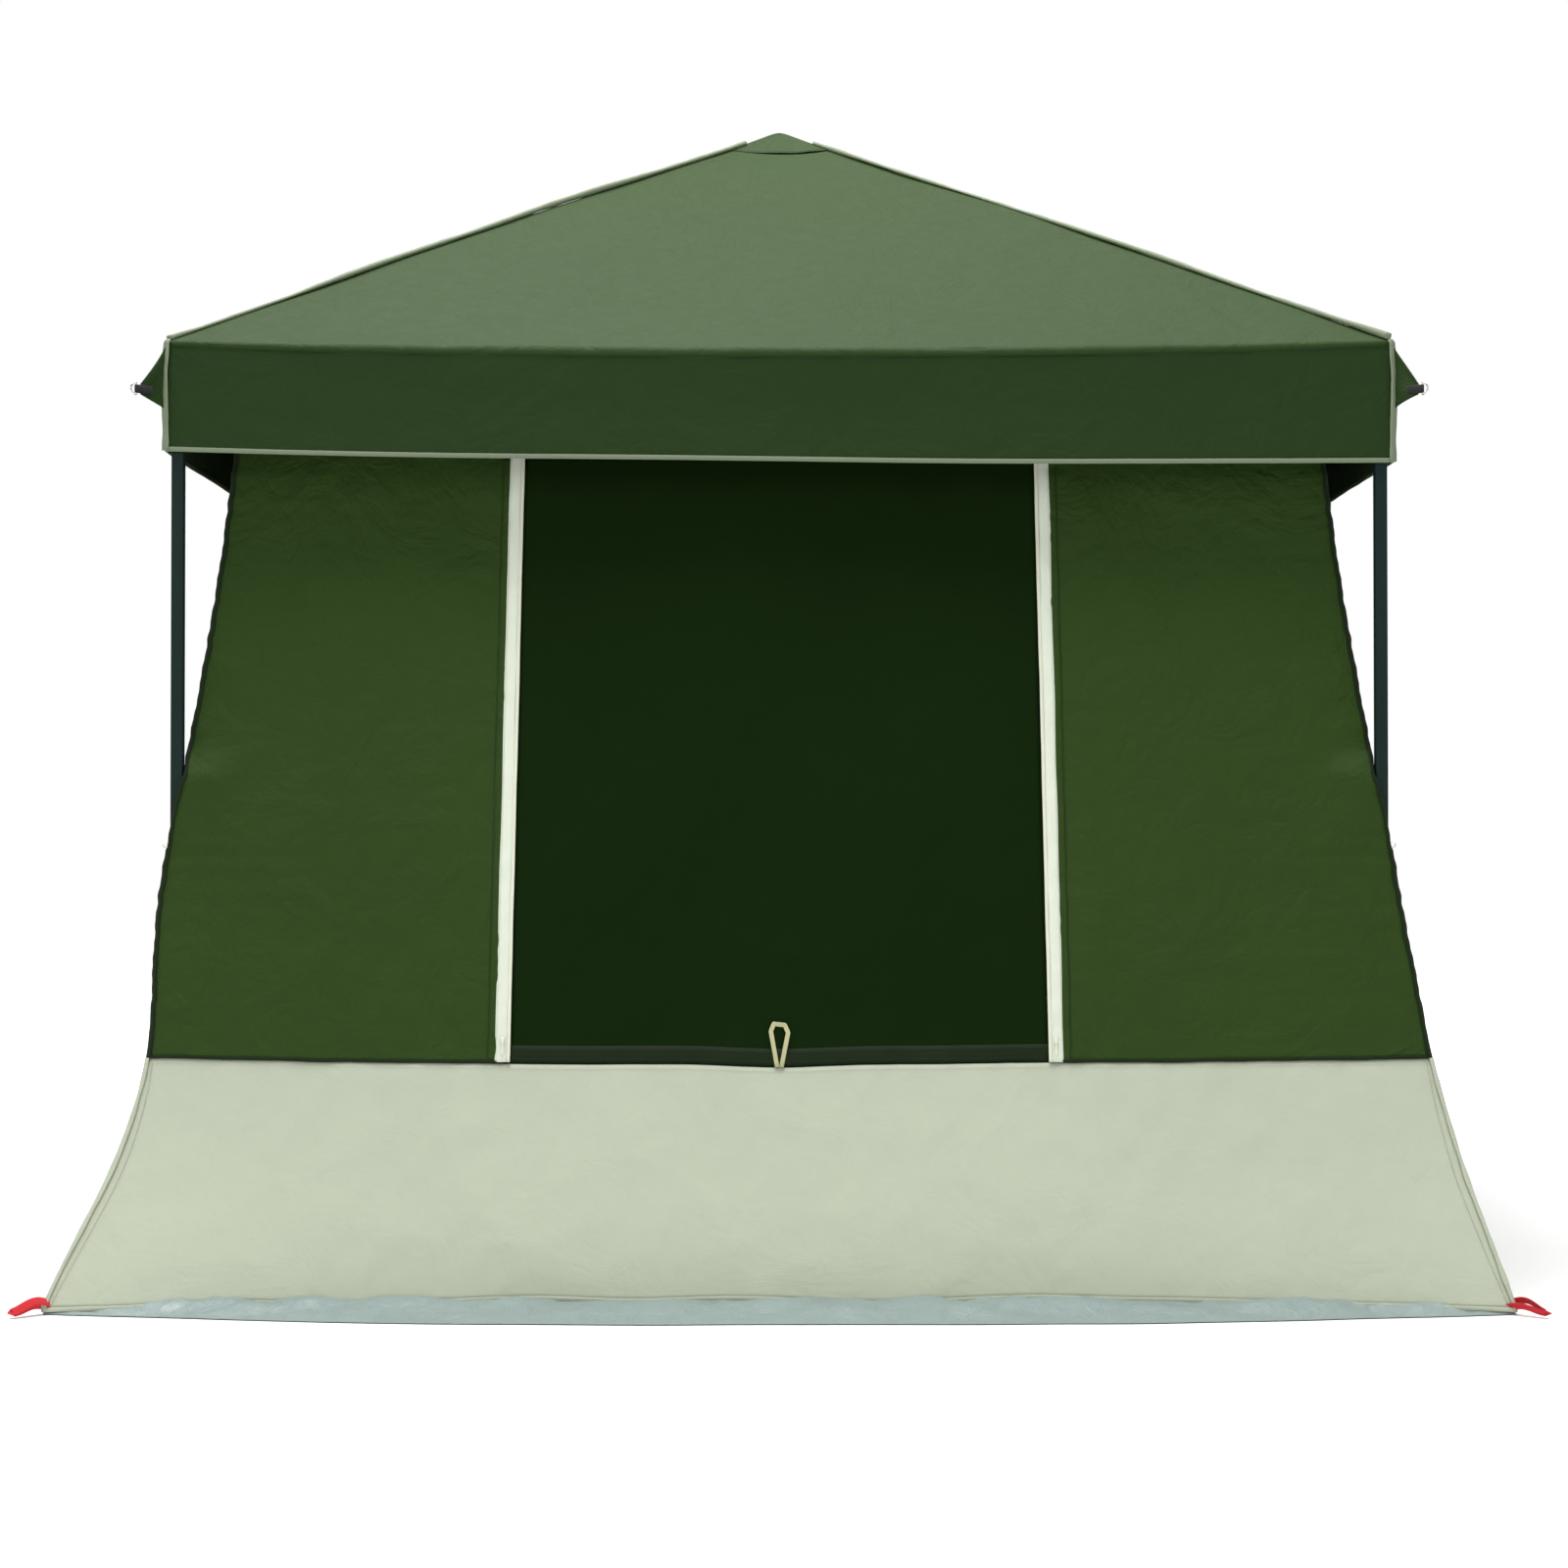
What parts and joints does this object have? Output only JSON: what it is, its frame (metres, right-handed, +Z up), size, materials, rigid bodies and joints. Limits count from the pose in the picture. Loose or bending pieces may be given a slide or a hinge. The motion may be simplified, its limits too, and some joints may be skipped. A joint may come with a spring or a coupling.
{
  "type": "screen house",
  "caption": "Square screened shelter with a pyramid canopy, hanging valance, zipped mesh walls, solid skirt, sewn floor and a folding telescopic-leg hub frame.",
  "frame": {"origin": "centre of the floor on the ground", "axes": "+Z up; -Y out of the front wall; +X to the right seen from the front"},
  "size_m": [3.6266, 3.6266, 3.205],
  "materials": {
    "roof_cloth": "matte",
    "valance_cloth": "matte",
    "screen_mesh": "matte",
    "panel_mesh": "matte",
    "skirt_cloth": "matte",
    "floor_sheet": "satin",
    "strip_cloth": "matte",
    "webbing_red": "matte",
    "frame_paint": "satin",
    "steel": "satin",
    "black_plastic": "matte",
    "white_plastic": "satin",
    "grey_plastic": "matte"
  },
  "bodies": {
    "room": {"groundsheet": "floor_sheet", "skirt": "skirt_cloth", "zip_plackets": "strip_cloth", "stake_loops": "webbing_red", "wall_front": "screen_mesh", "wall_right": "screen_mesh", "wall_rear": "screen_mesh", "wall_left": "screen_mesh"},
    "hub": {"hub": "black_plastic", "peak_patch": "roof_cloth"},
    "inner_arm_rear_right": {"inner_arm_rear_right": "frame_paint"},
    "outer_arm_rear_right": {"outer_arm_rear_right": "frame_paint"},
    "leg_rear_right": {"corner_bracket_rear_right": "black_plastic", "upper_leg_rear_right": "frame_paint", "leg_collar_rear_right": "white_plastic"},
    "lower_leg_rear_right": {"lower_leg_rear_right": "frame_paint"},
    "release_button_rear_right": {"release_button_rear_right": "grey_plastic"},
    "guy_ring_rear_right": {"guy_ring_rear_right": "steel"},
    "inner_arm_rear_left": {"inner_arm_rear_left": "frame_paint"},
    "outer_arm_rear_left": {"outer_arm_rear_left": "frame_paint"},
    "leg_rear_left": {"corner_bracket_rear_left": "black_plastic", "upper_leg_rear_left": "frame_paint", "leg_collar_rear_left": "white_plastic"},
    "lower_leg_rear_left": {"lower_leg_rear_left": "frame_paint"},
    "release_button_rear_left": {"release_button_rear_left": "grey_plastic"},
    "guy_ring_rear_left": {"guy_ring_rear_left": "steel"},
    "inner_arm_front_left": {"inner_arm_front_left": "frame_paint"},
    "outer_arm_front_left": {"outer_arm_front_left": "frame_paint"},
    "leg_front_left": {"corner_bracket_front_left": "black_plastic", "upper_leg_front_left": "frame_paint", "leg_collar_front_left": "white_plastic"},
    "lower_leg_front_left": {"lower_leg_front_left": "frame_paint"},
    "release_button_front_left": {"release_button_front_left": "grey_plastic"},
    "guy_ring_front_left": {"guy_ring_front_left": "steel"},
    "inner_arm_front_right": {"inner_arm_front_right": "frame_paint"},
    "outer_arm_front_right": {"outer_arm_front_right": "frame_paint"},
    "leg_front_right": {"corner_bracket_front_right": "black_plastic", "upper_leg_front_right": "frame_paint", "leg_collar_front_right": "white_plastic"},
    "lower_leg_front_right": {"lower_leg_front_right": "frame_paint"},
    "release_button_front_right": {"release_button_front_right": "grey_plastic"},
    "guy_ring_front_right": {"guy_ring_front_right": "steel"},
    "canopy_front": {"canopy_panel_front": "roof_cloth"},
    "valance_front": {"valance_front": "valance_cloth", "guy_tabs_front": "valance_cloth"},
    "panel_front": {"window_front": "panel_mesh"},
    "zip_pulls_front": {"zip_pulls_front": "grey_plastic"},
    "canopy_right": {"canopy_panel_right": "roof_cloth"},
    "valance_right": {"valance_right": "valance_cloth"},
    "panel_right": {"window_right": "panel_mesh"},
    "zip_pulls_right": {"zip_pulls_right": "grey_plastic"},
    "canopy_rear": {"canopy_panel_rear": "roof_cloth"},
    "valance_rear": {"valance_rear": "valance_cloth", "guy_tabs_rear": "valance_cloth"},
    "panel_rear": {"door_rear": "panel_mesh"},
    "zip_pulls_rear": {"zip_pulls_rear": "grey_plastic"},
    "canopy_left": {"canopy_panel_left": "roof_cloth"},
    "valance_left": {"valance_left": "valance_cloth"},
    "panel_left": {"window_left": "panel_mesh"},
    "zip_pulls_left": {"zip_pulls_left": "grey_plastic"}
  },
  "joints": [
    {"name": "frame_fold", "type": "slide", "parent": "room", "child": "hub", "axis": [0, 0, -1], "range_m": [0, 0.4614], "deforming": ["wall_front", "wall_right", "wall_rear", "wall_left", "groundsheet", "skirt", "zip_plackets", "window_front", "window_right", "door_rear", "window_left", "canopy_panel_front", "canopy_panel_right", "canopy_panel_rear", "canopy_panel_left", "valance_front", "valance_right", "valance_rear", "valance_left", "peak_patch", "guy_tabs_front", "guy_tabs_rear"]},
    {"name": "hub_pivot_rear_right", "type": "hinge", "parent": "hub", "child": "inner_arm_rear_right", "pos_m": [0.04243, 0.04243, 3.15012], "axis": [-0.7071, 0.7071, 0], "range_deg": [0, 65.81]},
    {"name": "knee_rear_right", "type": "hinge", "parent": "inner_arm_rear_right", "child": "outer_arm_rear_right", "pos_m": [0.85051, 0.85051, 2.69524], "axis": [-0.7071, 0.7071, 0], "range_deg": [-175.01, 0]},
    {"name": "elbow_rear_right", "type": "hinge", "parent": "outer_arm_rear_right", "child": "leg_rear_right", "pos_m": [1.4434, 1.4434, 2.36149], "axis": [-0.7071, 0.7071, 0], "range_deg": [0, 109.21]},
    {"name": "leg_slide_rear_right", "type": "slide", "parent": "leg_rear_right", "child": "lower_leg_rear_right", "axis": [0, 0, 1], "range_m": [0, 1]},
    {"name": "button_rear_right", "type": "slide", "parent": "leg_rear_right", "child": "release_button_rear_right", "axis": [0, 1, 0], "range_m": [0, 0.004], "stiffness_N_per_m": 400},
    {"name": "hub_pivot_rear_left", "type": "hinge", "parent": "hub", "child": "inner_arm_rear_left", "pos_m": [-0.04243, 0.04243, 3.15012], "axis": [-0.7071, -0.7071, 0], "range_deg": [0, 65.81]},
    {"name": "knee_rear_left", "type": "hinge", "parent": "inner_arm_rear_left", "child": "outer_arm_rear_left", "pos_m": [-0.85051, 0.85051, 2.69524], "axis": [-0.7071, -0.7071, 0], "range_deg": [-175.01, 0]},
    {"name": "elbow_rear_left", "type": "hinge", "parent": "outer_arm_rear_left", "child": "leg_rear_left", "pos_m": [-1.4434, 1.4434, 2.36149], "axis": [-0.7071, -0.7071, 0], "range_deg": [0, 109.21]},
    {"name": "leg_slide_rear_left", "type": "slide", "parent": "leg_rear_left", "child": "lower_leg_rear_left", "axis": [0, 0, 1], "range_m": [0, 1]},
    {"name": "button_rear_left", "type": "slide", "parent": "leg_rear_left", "child": "release_button_rear_left", "axis": [-1, 0, 0], "range_m": [0, 0.004], "stiffness_N_per_m": 400},
    {"name": "hub_pivot_front_left", "type": "hinge", "parent": "hub", "child": "inner_arm_front_left", "pos_m": [-0.04243, -0.04243, 3.15012], "axis": [0.7071, -0.7071, 0], "range_deg": [0, 65.81]},
    {"name": "knee_front_left", "type": "hinge", "parent": "inner_arm_front_left", "child": "outer_arm_front_left", "pos_m": [-0.85051, -0.85051, 2.69524], "axis": [0.7071, -0.7071, 0], "range_deg": [-175.01, 0]},
    {"name": "elbow_front_left", "type": "hinge", "parent": "outer_arm_front_left", "child": "leg_front_left", "pos_m": [-1.4434, -1.4434, 2.36149], "axis": [0.7071, -0.7071, 0], "range_deg": [0, 109.21]},
    {"name": "leg_slide_front_left", "type": "slide", "parent": "leg_front_left", "child": "lower_leg_front_left", "axis": [0, 0, 1], "range_m": [0, 1]},
    {"name": "button_front_left", "type": "slide", "parent": "leg_front_left", "child": "release_button_front_left", "axis": [0, -1, 0], "range_m": [0, 0.004], "stiffness_N_per_m": 400},
    {"name": "hub_pivot_front_right", "type": "hinge", "parent": "hub", "child": "inner_arm_front_right", "pos_m": [0.04243, -0.04243, 3.15012], "axis": [0.7071, 0.7071, 0], "range_deg": [0, 65.81]},
    {"name": "knee_front_right", "type": "hinge", "parent": "inner_arm_front_right", "child": "outer_arm_front_right", "pos_m": [0.85051, -0.85051, 2.69524], "axis": [0.7071, 0.7071, 0], "range_deg": [-175.01, 0]},
    {"name": "elbow_front_right", "type": "hinge", "parent": "outer_arm_front_right", "child": "leg_front_right", "pos_m": [1.4434, -1.4434, 2.36149], "axis": [0.7071, 0.7071, 0], "range_deg": [0, 109.21]},
    {"name": "leg_slide_front_right", "type": "slide", "parent": "leg_front_right", "child": "lower_leg_front_right", "axis": [0, 0, 1], "range_m": [0, 1]},
    {"name": "button_front_right", "type": "slide", "parent": "leg_front_right", "child": "release_button_front_right", "axis": [1, 0, 0], "range_m": [0, 0.004], "stiffness_N_per_m": 400},
    {"name": "canopy_hinge_front", "type": "hinge", "parent": "hub", "child": "canopy_front", "pos_m": [0, 0, 3.2], "axis": [1, 0, 0], "range_deg": [0, 38.01]},
    {"name": "eave_hinge_front", "type": "hinge", "parent": "canopy_front", "child": "valance_front", "pos_m": [0, -1.51, 2.35], "axis": [1, 0, 0], "range_deg": [-38.01, 0]},
    {"name": "window_front_swing", "type": "hinge", "parent": "room", "child": "panel_front", "pos_m": [0, -1.36002, 2.08486], "axis": [1, 0, 0], "range_deg": [-65, 0]},
    {"name": "zips_front", "type": "slide", "parent": "room", "child": "zip_pulls_front", "axis": [0, -0.1404, -0.9901], "range_m": [-1.4, 0]},
    {"name": "canopy_hinge_right", "type": "hinge", "parent": "hub", "child": "canopy_right", "pos_m": [0, 0, 3.2], "axis": [0, 1, 0], "range_deg": [0, 38.01]},
    {"name": "eave_hinge_right", "type": "hinge", "parent": "canopy_right", "child": "valance_right", "pos_m": [1.51, 0, 2.35], "axis": [0, 1, 0], "range_deg": [-38.01, 0]},
    {"name": "window_right_swing", "type": "hinge", "parent": "room", "child": "panel_right", "pos_m": [1.36002, 0, 2.08486], "axis": [0, 1, 0], "range_deg": [-65, 0]},
    {"name": "zips_right", "type": "slide", "parent": "room", "child": "zip_pulls_right", "axis": [0.1404, 0, -0.9901], "range_m": [-1.4, 0]},
    {"name": "canopy_hinge_rear", "type": "hinge", "parent": "hub", "child": "canopy_rear", "pos_m": [0, 0, 3.2], "axis": [-1, 0, 0], "range_deg": [0, 38.01]},
    {"name": "eave_hinge_rear", "type": "hinge", "parent": "canopy_rear", "child": "valance_rear", "pos_m": [0, 1.51, 2.35], "axis": [-1, 0, 0], "range_deg": [-38.01, 0]},
    {"name": "door_rear_swing", "type": "hinge", "parent": "room", "child": "panel_rear", "pos_m": [0, 1.36002, 2.08486], "axis": [-1, 0, 0], "range_deg": [-65, 0]},
    {"name": "zips_rear", "type": "slide", "parent": "room", "child": "zip_pulls_rear", "axis": [0, 0.1404, -0.9901], "range_m": [-1.4, 0]},
    {"name": "canopy_hinge_left", "type": "hinge", "parent": "hub", "child": "canopy_left", "pos_m": [0, 0, 3.2], "axis": [0, -1, 0], "range_deg": [0, 38.01]},
    {"name": "eave_hinge_left", "type": "hinge", "parent": "canopy_left", "child": "valance_left", "pos_m": [-1.51, 0, 2.35], "axis": [0, -1, 0], "range_deg": [-38.01, 0]},
    {"name": "window_left_swing", "type": "hinge", "parent": "room", "child": "panel_left", "pos_m": [-1.36002, 0, 2.08486], "axis": [0, -1, 0], "range_deg": [-65, 0]},
    {"name": "zips_left", "type": "slide", "parent": "room", "child": "zip_pulls_left", "axis": [-0.1404, 0, -0.9901], "range_m": [-1.4, 0]},
    {"name": "ring_rear_right", "type": "hinge", "parent": "valance_rear", "child": "guy_ring_rear_right", "pos_m": [1.57081, 1.57081, 2.227], "axis": [0, 0, 1], "range_deg": [-75, 75]},
    {"name": "ring_rear_left", "type": "hinge", "parent": "valance_rear", "child": "guy_ring_rear_left", "pos_m": [-1.57081, 1.57081, 2.227], "axis": [0, 0, 1], "range_deg": [-75, 75]},
    {"name": "ring_front_left", "type": "hinge", "parent": "valance_front", "child": "guy_ring_front_left", "pos_m": [-1.57081, -1.57081, 2.227], "axis": [0, 0, 1], "range_deg": [-75, 75]},
    {"name": "ring_front_right", "type": "hinge", "parent": "valance_front", "child": "guy_ring_front_right", "pos_m": [1.57081, -1.57081, 2.227], "axis": [0, 0, 1], "range_deg": [-75, 75]}
  ],
  "couplings": [
    {"joint": "hub_pivot_rear_right", "follows": "frame_fold", "rad_per_m": 2.4888},
    {"joint": "knee_rear_right", "follows": "frame_fold", "rad_per_m": -6.6196},
    {"joint": "elbow_rear_right", "follows": "frame_fold", "rad_per_m": 4.1308},
    {"joint": "hub_pivot_rear_left", "follows": "frame_fold", "rad_per_m": 2.4888},
    {"joint": "knee_rear_left", "follows": "frame_fold", "rad_per_m": -6.6196},
    {"joint": "elbow_rear_left", "follows": "frame_fold", "rad_per_m": 4.1308},
    {"joint": "hub_pivot_front_left", "follows": "frame_fold", "rad_per_m": 2.4888},
    {"joint": "knee_front_left", "follows": "frame_fold", "rad_per_m": -6.6196},
    {"joint": "elbow_front_left", "follows": "frame_fold", "rad_per_m": 4.1308},
    {"joint": "hub_pivot_front_right", "follows": "frame_fold", "rad_per_m": 2.4888},
    {"joint": "knee_front_right", "follows": "frame_fold", "rad_per_m": -6.6196},
    {"joint": "elbow_front_right", "follows": "frame_fold", "rad_per_m": 4.1308},
    {"joint": "canopy_hinge_front", "follows": "frame_fold", "rad_per_m": 1.4374},
    {"joint": "eave_hinge_front", "follows": "frame_fold", "rad_per_m": -1.4374},
    {"joint": "canopy_hinge_right", "follows": "frame_fold", "rad_per_m": 1.4374},
    {"joint": "eave_hinge_right", "follows": "frame_fold", "rad_per_m": -1.4374},
    {"joint": "canopy_hinge_rear", "follows": "frame_fold", "rad_per_m": 1.4374},
    {"joint": "eave_hinge_rear", "follows": "frame_fold", "rad_per_m": -1.4374},
    {"joint": "canopy_hinge_left", "follows": "frame_fold", "rad_per_m": 1.4374},
    {"joint": "eave_hinge_left", "follows": "frame_fold", "rad_per_m": -1.4374}
  ]
}
